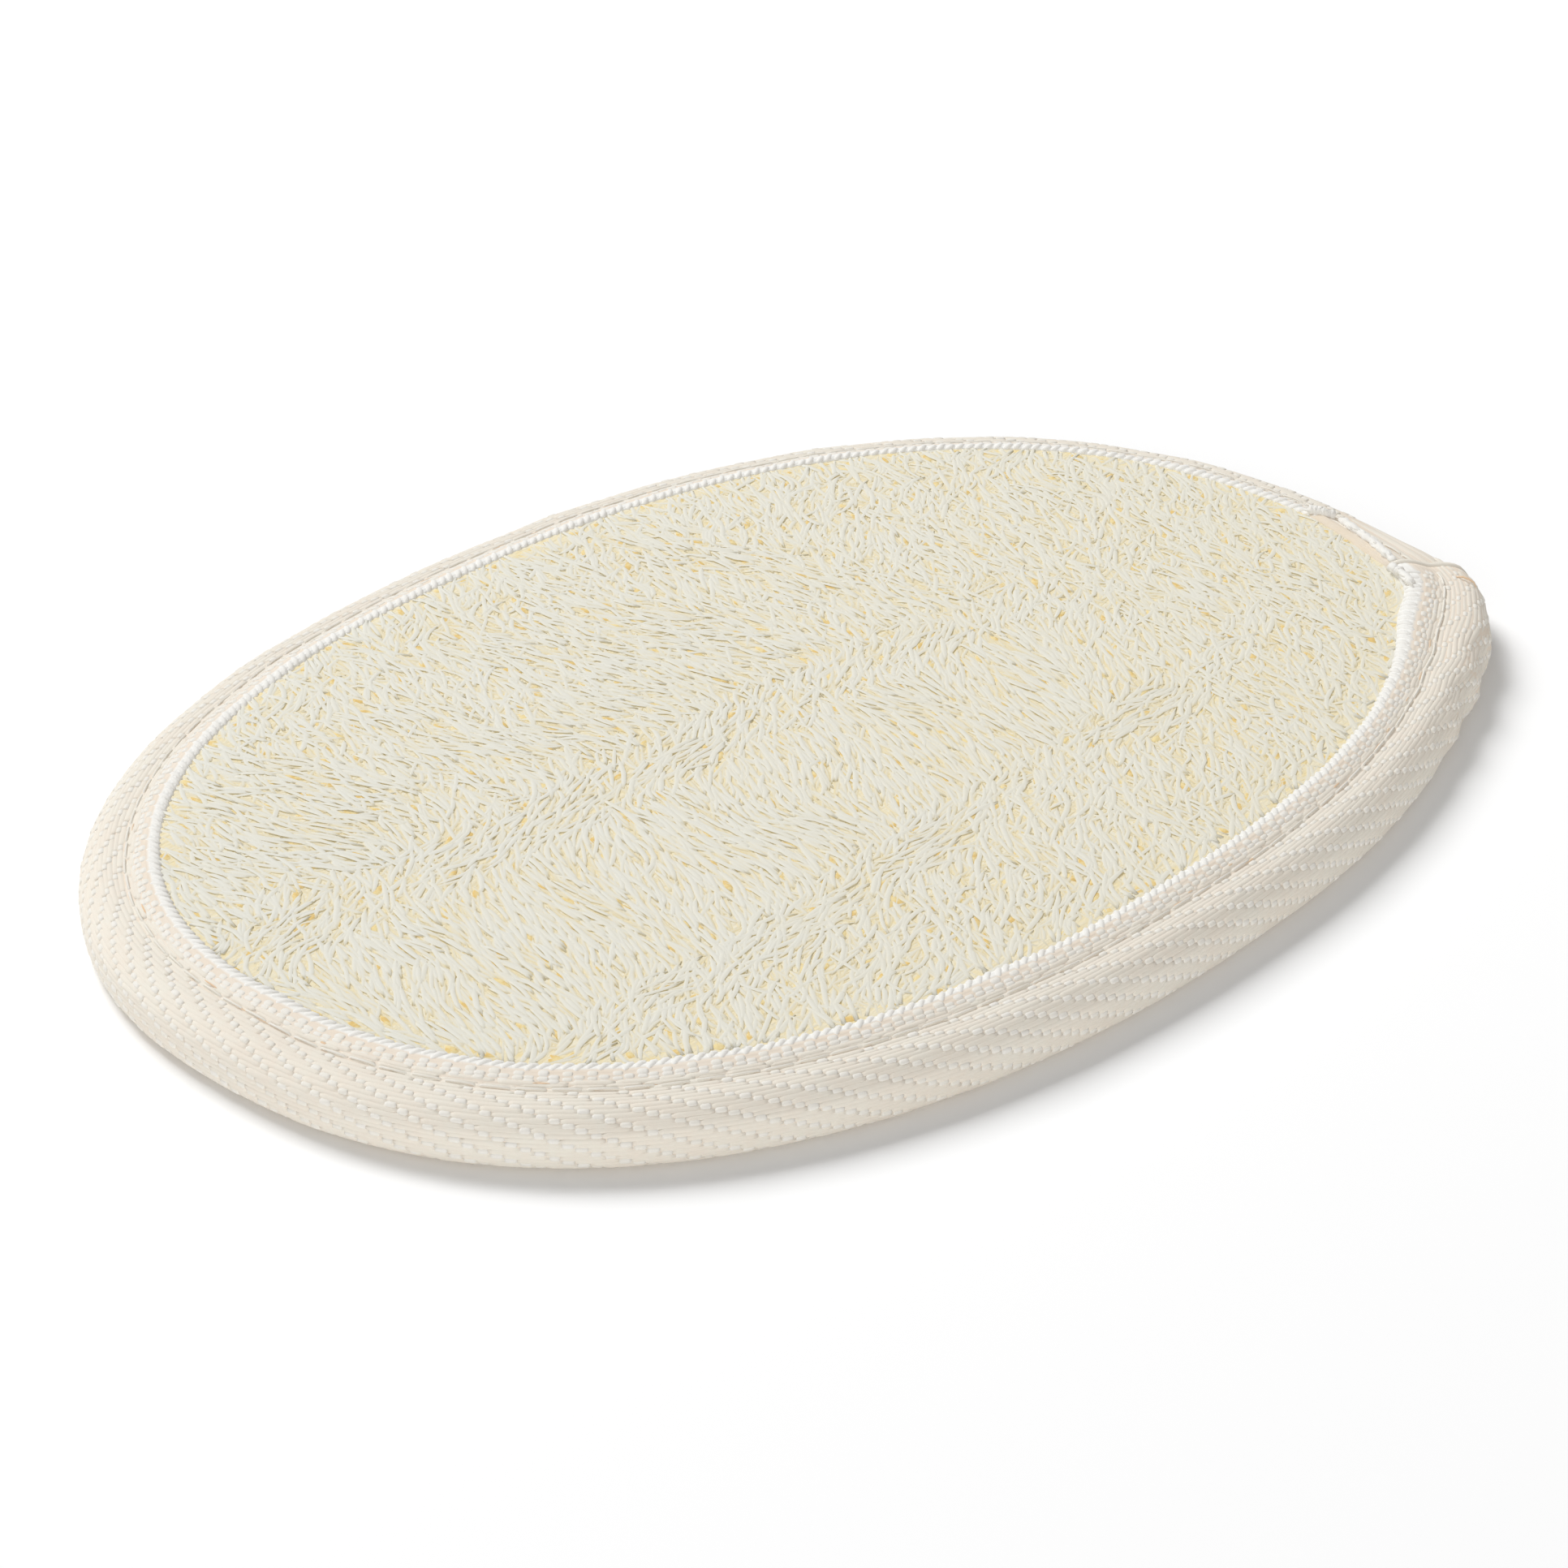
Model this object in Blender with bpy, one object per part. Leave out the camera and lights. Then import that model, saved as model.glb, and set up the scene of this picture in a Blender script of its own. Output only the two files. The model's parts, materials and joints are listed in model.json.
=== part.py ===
# Oval loofah scrubbing pad. A flat mat of natural loofah net is bound round its rim
# with one folded cotton tape, and a lockstitched seam runs through both.
# Metres, +Z up, +X along the pad. The origin is on the surface that the pad rests on,
# under the middle of the pad.

import math
import random

import bmesh
import bpy
from mathutils import Vector

MM = 0.001

# Outer line of the binding, in plan: an oval a little fuller than an ellipse
HALF_LENGTH = 75.0 * MM
HALF_WIDTH = 52.3 * MM
OVAL_POWER = 2.256
OVAL_TAPER = 0.013
OVAL_LEAN = 0.028
RING_STEPS = 76

# Corner where the two ends of the tape lap, pushed out beyond the oval
CORNER_ANGLE = math.radians(-24.5)
CORNER_REACH = 3.9 * MM
CORNER_SPREAD_BACK = 0.14
CORNER_SPREAD_FRONT = 0.23
CORNER_TURNS = (math.radians(-52.0), math.radians(-8.0))

# Binding: how far the tape reaches over the mat, and how it sits
TAPE_REACH = 7.2 * MM
TAPE_REACH_SHIFT = 0.7 * MM
TAPE_THICKNESS = 0.85 * MM
PAD_HEIGHT = 6.8 * MM
SEAM_PLACE = 0.59
SEAM_TOP = 5.65 * MM
SEAM_UNDERSIDE = 0.9 * MM

# Upper end of the tape, which stops in a step at the corner and lies over the lower end
LAP_STEP = math.radians(-22.0)
LAP_STEP_WIDTH = math.radians(2.5)
LAP_FADE = math.radians(-44.0)
LAP_RISE = 0.6 * MM

# Clearance kept between pieces that touch
GAP = 0.3 * MM

# Loofah mat and its raised net
MAT_TOP = 6.1 * MM
MAT_UNDERSIDE = 1.18 * MM
STRAND_RADIUS = 1.0 * MM
STRAND_SINK = 0.15 * MM
STRAND_LENGTH = (15.0 * MM, 26.0 * MM)
STRAND_STEPS = 3
STRAND_BEND = 0.85
STRAND_STRAY = 0.6
NET_MARGIN = 1.7 * MM
NET_SEED = 41

# Faces that carry the net: name, level, direction it stands out, and grid spacing
NET_FACES = [
    ("top", MAT_TOP, 1, 8.2 * MM),
    ("underside", MAT_UNDERSIDE, -1, 10.5 * MM),
]

# Seam threads
THREAD_RADIUS = 0.2 * MM
THREAD_WAVE = 0.06 * MM
STITCH_COUNT = 72

# Directions that the loofah strands follow: place as shares of the half length and
# half width, then degrees from +X. They run across the pad in bands along its length.
FLOW_SPOTS = [
    (-0.75, 0.10, 40.0),
    (-0.45, -0.28, 72.0),
    (-0.05, -0.28, 74.0),
    (0.38, -0.25, 60.0),
    (0.78, -0.15, 45.0),
    (-0.60, 0.42, 95.0),
    (-0.20, 0.50, 80.0),
    (0.20, 0.48, 110.0),
    (0.60, 0.40, 50.0),
    (-0.30, 0.12, 30.0),
    (0.15, 0.02, 20.0),
    (-0.40, -0.58, 35.0),
    (0.05, -0.68, 60.0),
    (0.40, -0.65, 75.0),
]

# Long veins of the gourd between the bands: shares of the half width at left and right
VEINS = [(0.14, -0.04), (-0.54, -0.46), (0.62, 0.50)]
VEIN_STEPS = 9
VEIN_END = 0.74
VEIN_WANDER = 1.1 * MM


def oval_point(turn):
    """Point of the plain oval at a parametric angle."""
    cosine = math.cos(turn)
    sine = math.sin(turn)
    x = HALF_LENGTH * math.copysign(abs(cosine) ** (2 / OVAL_POWER), cosine)
    y = HALF_WIDTH * math.copysign(abs(sine) ** (2 / OVAL_POWER), sine)
    y *= 1 - OVAL_TAPER * x / HALF_LENGTH
    x *= 1 - OVAL_LEAN * y / HALF_WIDTH
    return Vector((x, y))


def oval_normal(turn):
    """Outward direction of the plain oval at a parametric angle."""
    step = 0.01
    along = oval_point(turn + step) - oval_point(turn - step)
    return Vector((along.y, -along.x)).normalized()


def corner_push(angle):
    """How far the lapped corner stands out beyond the oval at a polar angle."""
    away = angle - CORNER_ANGLE
    spread = CORNER_SPREAD_BACK if away > 0 else CORNER_SPREAD_FRONT
    return CORNER_REACH * math.exp(-((away / spread) ** 2))


def lap_share(angle):
    """1 where the tape's upper end lies over its lower one, 0 where it is single."""
    rise = (LAP_STEP - angle) / LAP_STEP_WIDTH
    fade = (angle - LAP_FADE) / (LAP_STEP - LAP_FADE)
    return max(0.0, min(1.0, rise, 1.4 * fade))


def rim_lines(turn):
    """Outermost point and inner edge of the binding at a parametric angle."""
    base = oval_point(turn)
    normal = oval_normal(turn)
    angle = math.atan2(base.y, base.x)
    outer = base + base.normalized() * corner_push(angle)
    inner = base - normal * TAPE_REACH + Vector((TAPE_REACH_SHIFT, 0))
    return outer, inner, lap_share(angle)


def rim_turns():
    """Parametric angles of the rim's sections, twice as close round the corner."""
    step = 2 * math.pi / RING_STEPS
    turns = []
    for index in range(RING_STEPS):
        turn = index * step - math.pi
        turns.append(turn)
        if CORNER_TURNS[0] < turn < CORNER_TURNS[1]:
            turns.append(turn + step / 2)
    return turns


def binding_section(lap):
    """Closed outline of the folded tape, as share of the reach and height."""
    lift = LAP_RISE * lap
    thick = TAPE_THICKNESS
    top = PAD_HEIGHT
    return [
        (1.00, top - thick + lift * 0.3),
        (0.97, top - 0.08 * MM + lift),
        (0.74, top - 0.25 * MM + lift),
        (SEAM_PLACE, SEAM_TOP + lift * 0.4),
        (0.45, top - 0.80 * MM + lift * 0.5),
        (0.20, top - 1.50 * MM + lift * 0.3),
        (0.00, top - 3.85 * MM),
        (0.05, 1.20 * MM),
        (0.21, 0.0),
        (SEAM_PLACE - 0.09, 0.0),
        (SEAM_PLACE, SEAM_UNDERSIDE),
        (SEAM_PLACE + 0.09, 0.0),
        (1.00, 0.0),
        (1.00, thick),
        (SEAM_PLACE + 0.11, thick + 0.05 * MM),
        (SEAM_PLACE, SEAM_UNDERSIDE + thick),
        (SEAM_PLACE - 0.11, thick + 0.10 * MM),
        (0.27, 1.05 * MM),
        (0.14, top - 3.90 * MM),
        (0.27, top - 2.40 * MM),
        (0.46, top - 1.75 * MM),
        (SEAM_PLACE, SEAM_TOP - thick),
        (0.74, top - 0.30 * MM - thick),
    ]


def mat_section():
    """Rim of the mat from its upper face to its lower one, inside the folded tape."""
    step = 1 + GAP / TAPE_REACH
    thick = TAPE_THICKNESS
    top = PAD_HEIGHT
    return [
        (step, MAT_TOP),
        (step, top - thick - GAP),
        (0.74, top - thick - 0.65 * MM),
        (SEAM_PLACE, SEAM_TOP - thick - GAP - 0.05 * MM),
        (0.31, top - 2.85 * MM),
        (0.20, top - 3.90 * MM),
        (0.30, 1.05 * MM + GAP + 0.02 * MM),
        (SEAM_PLACE - 0.12, thick + 0.10 * MM + GAP + 0.03 * MM),
        (SEAM_PLACE, SEAM_UNDERSIDE + thick + GAP),
        (SEAM_PLACE + 0.12, thick + 0.05 * MM + GAP + 0.02 * MM),
        (step, MAT_UNDERSIDE),
    ]


def rim_ring(mesh, share, height):
    """Ring of vertices at one share of the reach, all round the pad."""
    ring = []
    for turn in rim_turns():
        outer, inner, _ = rim_lines(turn)
        place = outer.lerp(inner, share)
        ring.append(mesh.verts.new((place.x, place.y, height)))
    return ring


def join_rings(mesh, first, second):
    count = len(first)
    for index in range(count):
        after = (index + 1) % count
        mesh.faces.new((first[index], first[after], second[after], second[index]))


def finish_mesh(mesh, name, collection, material):
    bmesh.ops.recalc_face_normals(mesh, faces=mesh.faces)
    data = bpy.data.meshes.new(name)
    mesh.to_mesh(data)
    mesh.free()
    data.materials.append(material)
    piece = bpy.data.objects.new(name, data)
    collection.objects.link(piece)
    return piece


def plain_material(name, colour, roughness):
    material = bpy.data.materials.new(name)
    material.use_nodes = True
    shader = material.node_tree.nodes["Principled BSDF"]
    shader.inputs["Base Color"].default_value = (*colour, 1.0)
    shader.inputs["Roughness"].default_value = roughness
    shader.inputs["Metallic"].default_value = 0.0
    material.diffuse_color = (*colour, 1.0)
    return material


def new_collection(name):
    collection = bpy.data.collections.new(name)
    bpy.context.scene.collection.children.link(collection)
    return collection


def build_binding(collection):
    """Folded cotton tape, lofted round the rim because its section changes at the lap."""
    mesh = bmesh.new()
    sections = []
    for turn in rim_turns():
        outer, inner, lap = rim_lines(turn)
        section = []
        for share, height in binding_section(lap):
            place = outer.lerp(inner, share)
            section.append(mesh.verts.new((place.x, place.y, height)))
        sections.append(section)
    for index, section in enumerate(sections):
        join_rings(mesh, section, sections[(index + 1) % len(sections)])
    tape = plain_material("cotton_tape", (0.78, 0.71, 0.62), 0.9)
    return finish_mesh(mesh, "edge_binding", collection, tape)


def build_mat_body(collection):
    """Pressed mat with a thinner rim that sits inside the folded tape."""
    mesh = bmesh.new()
    rings = [rim_ring(mesh, share, height) for share, height in mat_section()]
    for upper, lower in zip(rings, rings[1:]):
        join_rings(mesh, upper, lower)
    mesh.faces.new(rings[0])
    mesh.faces.new(rings[-1])
    loofah = plain_material("loofah_fibre", (0.74, 0.66, 0.46), 0.85)
    return finish_mesh(mesh, "loofah_mat", collection, loofah)


def net_limit(place):
    """True where a place in plan is well inside the open face of the mat."""
    for turn in rim_turns():
        inner = rim_lines(turn)[1]
        if (place - inner).dot(oval_normal(turn)) > -NET_MARGIN:
            return False
    return True


def flow_angle(place):
    """Direction of the strands at a place, blended from the nearest spots."""
    cosine = 0.0
    sine = 0.0
    for x, y, degrees in FLOW_SPOTS:
        spot = Vector((x * HALF_LENGTH, y * HALF_WIDTH))
        weight = 1.0 / ((place - spot).length / HALF_WIDTH + 0.15) ** 3
        cosine += weight * math.cos(2 * math.radians(degrees))
        sine += weight * math.sin(2 * math.radians(degrees))
    return math.atan2(sine, cosine) / 2


def strand_route(start, angle, length, bend, level, sign):
    """Points of one arched strand, whose ends dive into the mat."""
    step = length / STRAND_STEPS
    heading = angle - bend / 2
    place = start - Vector((math.cos(angle), math.sin(angle))) * length / 2
    route = []
    for index in range(STRAND_STEPS + 1):
        depth = STRAND_RADIUS * 0.85 if index in (0, STRAND_STEPS) else 0.0
        route.append(Vector((place.x, place.y, level - sign * depth)))
        place = place + Vector((math.cos(heading), math.sin(heading))) * step
        heading += bend / (STRAND_STEPS - 1)
    return route


def strand_mesh(name, route, collection):
    """One strand as a closed four-sided tube."""
    curve = bpy.data.curves.new(name, "CURVE")
    curve.dimensions = "3D"
    curve.bevel_depth = STRAND_RADIUS
    curve.bevel_resolution = 0
    curve.use_fill_caps = True
    spline = curve.splines.new("POLY")
    spline.points.add(len(route) - 1)
    for point, place in zip(spline.points, route):
        point.co = (*place, 1.0)
    guide = bpy.data.objects.new(name + "_guide", curve)
    bpy.context.scene.collection.objects.link(guide)
    bpy.context.view_layer.update()
    evaluated = guide.evaluated_get(bpy.context.evaluated_depsgraph_get())
    data = bpy.data.meshes.new_from_object(evaluated)
    bpy.data.objects.remove(guide)
    welded = bmesh.new()
    welded.from_mesh(data)
    bmesh.ops.remove_doubles(welded, verts=welded.verts, dist=0.001 * MM)
    bmesh.ops.recalc_face_normals(welded, faces=welded.faces)
    welded.to_mesh(data)
    welded.free()
    strand = bpy.data.objects.new(name, data)
    collection.objects.link(strand)
    return strand


def lay_net(collection, face_name, face_level, sign, spacing, rng):
    """Strands over one face of the mat, on a jittered grid that follows the flow."""
    level = face_level - sign * STRAND_SINK
    rows = int(2 * HALF_WIDTH / (spacing * 0.866)) + 1
    columns = int(2 * HALF_LENGTH / spacing) + 2
    number = 0
    for row in range(-rows // 2, rows // 2 + 1):
        for column in range(-columns // 2, columns // 2 + 1):
            x = (column + 0.5 * (row % 2)) * spacing + rng.uniform(-0.3, 0.3) * spacing
            y = row * spacing * 0.866 + rng.uniform(-0.3, 0.3) * spacing
            angle = flow_angle(Vector((x, y))) + rng.uniform(-STRAND_STRAY, STRAND_STRAY)
            length = rng.uniform(*STRAND_LENGTH)
            bend = rng.uniform(-STRAND_BEND, STRAND_BEND)
            height = level + sign * rng.uniform(-0.12, 0.12) * MM
            route = strand_route(Vector((x, y)), angle, length, bend, height, sign)
            while route and not net_limit(route[0].xy):
                route.pop(0)
            while route and not net_limit(route[-1].xy):
                route.pop()
            if len(route) < 3:
                continue
            number += 1
            strand_mesh(f"{face_name}_strand_{number}", route, collection)


def lay_veins(collection, face_name, face_level, sign, rng):
    """Long veins along the pad, which the strands of the net cross."""
    level = face_level - sign * STRAND_SINK
    for number, (left, right) in enumerate(VEINS):
        route = []
        for step in range(VEIN_STEPS + 1):
            share = step / VEIN_STEPS
            x = HALF_LENGTH * VEIN_END * (2 * share - 1)
            y = HALF_WIDTH * (left + (right - left) * share)
            y += rng.uniform(-VEIN_WANDER, VEIN_WANDER)
            depth = STRAND_RADIUS * 0.85 if step in (0, VEIN_STEPS) else 0.0
            if net_limit(Vector((x, y))):
                route.append(Vector((x, y, level - sign * depth)))
        strand_mesh(f"{face_name}_vein_{number}", route, collection)


def build_mat(collection):
    """Mat with its raised net fused on both faces."""
    body = build_mat_body(collection)
    strands = new_collection("loofah_strands")
    rng = random.Random(NET_SEED)
    for face_name, level, sign, spacing in NET_FACES:
        lay_net(strands, face_name, level, sign, spacing, rng)
        lay_veins(strands, face_name, level, sign, rng)
    fuse = body.modifiers.new("fuse_net", "BOOLEAN")
    fuse.operation = "UNION"
    fuse.operand_type = "COLLECTION"
    fuse.collection = strands
    fuse.solver = "MANIFOLD"
    bpy.context.view_layer.update()
    evaluated = body.evaluated_get(bpy.context.evaluated_depsgraph_get())
    fused = bpy.data.meshes.new_from_object(evaluated)
    body.modifiers.clear()
    body.data = fused
    for strand in list(strands.objects):
        bpy.data.objects.remove(strand)
    bpy.data.collections.remove(strands)
    return body


def build_thread(name, collection, height, material):
    """One thread of the seam, lying in the groove that it pulls into the tape."""
    curve = bpy.data.curves.new(name, "CURVE")
    curve.dimensions = "3D"
    curve.bevel_depth = THREAD_RADIUS
    curve.bevel_resolution = 0
    spline = curve.splines.new("POLY")
    count = 2 * STITCH_COUNT
    spline.points.add(count - 1)
    spline.use_cyclic_u = True
    for index, point in enumerate(spline.points):
        outer, inner, lap = rim_lines(2 * math.pi * index / count)
        place = outer.lerp(inner, SEAM_PLACE)
        wave = THREAD_WAVE if index % 2 else -THREAD_WAVE
        rise = LAP_RISE * 0.4 * lap if height > PAD_HEIGHT / 2 else 0.0
        point.co = (place.x, place.y, height + wave + rise, 1.0)
    curve.materials.append(material)
    thread = bpy.data.objects.new(name, curve)
    collection.objects.link(thread)
    return thread


def build_seam(collection):
    cotton = plain_material("cotton_thread", (0.82, 0.78, 0.68), 0.8)
    clear = GAP + THREAD_RADIUS + THREAD_WAVE + 0.05 * MM
    build_thread("seam_thread_top", collection, SEAM_TOP + clear, cotton)
    build_thread("seam_thread_bottom", collection, SEAM_UNDERSIDE - clear, cotton)


def clear_scene():
    for item in list(bpy.data.objects):
        bpy.data.objects.remove(item)


clear_scene()
pad = new_collection("loofah_pad")
build_mat(pad)
build_binding(pad)
build_seam(pad)
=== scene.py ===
import json
import math
import random

import bmesh
import bpy
import numpy as np
from mathutils import Matrix, Vector, noise

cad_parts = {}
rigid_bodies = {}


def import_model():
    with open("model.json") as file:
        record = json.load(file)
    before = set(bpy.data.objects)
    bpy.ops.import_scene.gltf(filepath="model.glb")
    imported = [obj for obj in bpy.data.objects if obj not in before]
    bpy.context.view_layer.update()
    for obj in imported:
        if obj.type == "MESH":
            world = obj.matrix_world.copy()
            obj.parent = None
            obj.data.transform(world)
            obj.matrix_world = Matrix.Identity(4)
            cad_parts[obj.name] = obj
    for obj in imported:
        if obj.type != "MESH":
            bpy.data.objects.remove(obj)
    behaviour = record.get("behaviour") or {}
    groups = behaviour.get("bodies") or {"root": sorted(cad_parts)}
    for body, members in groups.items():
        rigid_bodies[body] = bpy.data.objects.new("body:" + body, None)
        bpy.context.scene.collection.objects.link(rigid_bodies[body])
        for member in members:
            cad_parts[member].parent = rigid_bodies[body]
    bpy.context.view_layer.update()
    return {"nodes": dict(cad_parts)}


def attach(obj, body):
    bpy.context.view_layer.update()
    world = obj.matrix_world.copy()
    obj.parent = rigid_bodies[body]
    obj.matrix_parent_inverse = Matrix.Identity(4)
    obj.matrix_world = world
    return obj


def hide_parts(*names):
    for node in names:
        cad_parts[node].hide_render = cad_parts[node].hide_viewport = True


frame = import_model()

mm = 0.001

# Outline of the pad in plan: an oval that bulges at the corner, and is gathered beside it.
# The inner corner is where the tape's inner edge comes nearer to the rim.
outline = {
    "halfLength": 75.0 * mm,
    "halfWidth": 52.3 * mm,
    "power": 2.256,
    "taper": 0.013,
    "lean": 0.028,
    "cornerAngle": math.radians(-24.5),
    "cornerReach": 3.9 * mm,
    "cornerSpreadBack": 0.14,
    "cornerSpreadFront": 0.23,
    "tapeReach": 7.2 * mm,
    "reachShift": 0.7 * mm,
    "innerCornerAngle": math.radians(-25.5),
    "innerCornerReach": 1.9 * mm,
    "innerCornerSpread": 0.085,
    "gatherReach": 0.35 * mm,
    "gatherAngle": math.radians(-38.0),
    "gatherSpread": 0.16,
    "gatherPitch": 0.115,
}

padFace = {
    "topMiddle": 6.75 * mm,
    "topRim": 6.52 * mm,
    "underMiddle": 0.55 * mm,
    "underRim": 0.85 * mm,
    "rounding": 12 * mm,
}


def ovalPoints(turns):
    cosines = np.cos(turns)
    sines = np.sin(turns)
    x = outline["halfLength"] * np.sign(cosines) * np.abs(cosines) ** (2 / outline["power"])
    y = outline["halfWidth"] * np.sign(sines) * np.abs(sines) ** (2 / outline["power"])
    y = y * (1 - outline["taper"] * x / outline["halfLength"])
    x = x * (1 - outline["lean"] * y / outline["halfWidth"])
    return np.stack([x, y], axis=1)


def rimTable(turns):
    # Outermost and innermost line of the tape, and the polar angle, at each turn
    base = ovalPoints(turns)
    along = ovalPoints(turns + 0.01) - ovalPoints(turns - 0.01)
    normal = np.stack([along[:, 1], -along[:, 0]], axis=1)
    normal /= np.linalg.norm(normal, axis=1)[:, None]
    angle = np.arctan2(base[:, 1], base[:, 0])
    away = angle - outline["cornerAngle"]
    spread = np.where(away > 0, outline["cornerSpreadBack"], outline["cornerSpreadFront"])
    push = outline["cornerReach"] * np.exp(-((away / spread) ** 2))
    gather = np.exp(-(((angle - outline["gatherAngle"]) / outline["gatherSpread"]) ** 2))
    push += outline["gatherReach"] * gather * np.sin(angle * 2 * np.pi / outline["gatherPitch"])
    outer = base + base / np.linalg.norm(base, axis=1)[:, None] * push[:, None]
    corner = np.exp(-(((angle - outline["innerCornerAngle"]) / outline["innerCornerSpread"]) ** 2))
    reach = outline["tapeReach"] - outline["innerCornerReach"] * corner
    inner = base - normal * reach[:, None] + np.array([outline["reachShift"], 0])
    return outer, inner, angle


# Folded tape. The profile runs from its upper inner edge round the rim to its lower one,
# each point a share of the way in from the outermost line and a height in mm.
tape = {
    "profile": [
        (1.02, 6.15), (1.00, 6.50), (0.94, 6.72), (0.86, 6.74), (0.76, 6.54), (0.67, 6.24),
        (0.59, 5.98), (0.50, 5.90), (0.38, 5.84), (0.26, 5.56), (0.15, 4.95), (0.06, 4.10),
        (0.03, 3.20), (0.03, 2.10), (0.05, 1.15), (0.13, 0.45), (0.24, 0.20), (0.38, 0.18),
        (0.50, 0.25), (0.59, 0.75), (0.68, 0.25), (0.80, 0.18), (0.92, 0.18), (1.00, 0.35),
        (1.02, 0.65),
    ],
    "thickness": 0.5 * mm,
    "stepsAlong": 290,
    "stepsAcross": 56,
    "seamShare": 0.59,
    "upperEnd": math.radians(-22.5),
    "lowerEnd": math.radians(-36.0),
    "openEnd": math.radians(-11.0),
    "lapStart": math.radians(-50.0),
    "lapRise": 0.6 * mm,
    "lapSunk": 0.12 * mm,
    "edgeWander": 0.16 * mm,
    "wanderPeriod": 21 * mm,
    "wanderReach": 2.4 * mm,
    "swell": 0.10 * mm,
    "swellPeriod": 13 * mm,
}

weave = {
    # on the line of the seam; it opens to 1.16 mm round the rim
    "pick": 1.07 * mm,
    "warp": 0.42 * mm,
    "repeat": 4,
    "grooveWidth": 3.8 * mm,
    "pearlLength": 0.94 * mm,
    "pearlRadius": 0.31 * mm,
    "floatRadius": 0.285 * mm,
    "yarnSunk": 0.08 * mm,
    "worn": 0.05 * mm,
    "underShare": 0.60,
    "sheetSunk": 0.13 * mm,
    "besideGroove": (2.95 * mm, 3.25 * mm, 3.55 * mm),
}


def smoothProfile(points, steps):
    # Catmull-Rom curve through the profile's points, evenly spaced along its length
    nodes = np.array(points)
    nodes = np.vstack([2 * nodes[0] - nodes[1], nodes, 2 * nodes[-1] - nodes[-2]])
    fine = []
    for k in range(1, len(nodes) - 2):
        a, b, c, d = nodes[k - 1:k + 3]
        for t in np.linspace(0, 1, 24, endpoint=False):
            fine.append(0.5 * (2 * b + (c - a) * t + (2 * a - 5 * b + 4 * c - d) * t * t
                               + (3 * b - a - 3 * c + d) * t ** 3))
    fine.append(nodes[-2])
    fine = np.array(fine) * [outline["tapeReach"], mm]
    length = np.concatenate([[0], np.cumsum(np.linalg.norm(np.diff(fine, axis=0), axis=1))])
    even = np.linspace(0, length[-1], steps)
    inward = np.interp(even, length, fine[:, 0])
    height = np.interp(even, length, fine[:, 1])
    return even, inward / outline["tapeReach"], height


profileLength, profileShare, profileHeight = smoothProfile(tape["profile"], 400)
profileShareStep = np.gradient(profileShare, profileLength)
profileHeightStep = np.gradient(profileHeight, profileLength)
tapeWidth = profileLength[-1]

# Length along the tape, measured on the line of the seam
allTurns = np.linspace(-2.5, 2 * np.pi + 1.5, 6000)
allOuter, allInner, allAngles = rimTable(allTurns)
seamLine = allOuter * (1 - tape["seamShare"]) + allInner * tape["seamShare"]
seamLength = np.concatenate([[0], np.cumsum(np.linalg.norm(np.diff(seamLine, axis=0), axis=1))])
unrolledAngles = np.unwrap(allAngles)
unrolledAngles -= 2 * np.pi * np.round((unrolledAngles[0] - allTurns[0]) / (2 * np.pi))


def lengthAtAngle(angle):
    return float(np.interp(angle, unrolledAngles, seamLength))


tapeStart = lengthAtAngle(tape["lowerEnd"])
tapeEnd = lengthAtAngle(tape["upperEnd"] + 2 * np.pi)
lapStart = lengthAtAngle(tape["lapStart"] + 2 * np.pi)
lapUnder = lengthAtAngle(tape["upperEnd"])
lapOpenEnd = lengthAtAngle(tape["openEnd"])
tapeLength = tapeEnd - tapeStart


def waves(values, period, seed):
    # A few sine waves of unlike length, for slow unevenness along the tape
    rng = random.Random(seed)
    total = np.zeros_like(values)
    for k in range(5):
        length = period * rng.uniform(0.5, 1.8)
        total += np.sin(values / length * 2 * np.pi + rng.uniform(0, 6.3)) * rng.uniform(0.3, 1)
    return total / 2.4


def smoothStep(values, low, high):
    share = np.clip((values - low) / (high - low), 0, 1)
    return share * share * (3 - 2 * share)


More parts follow.
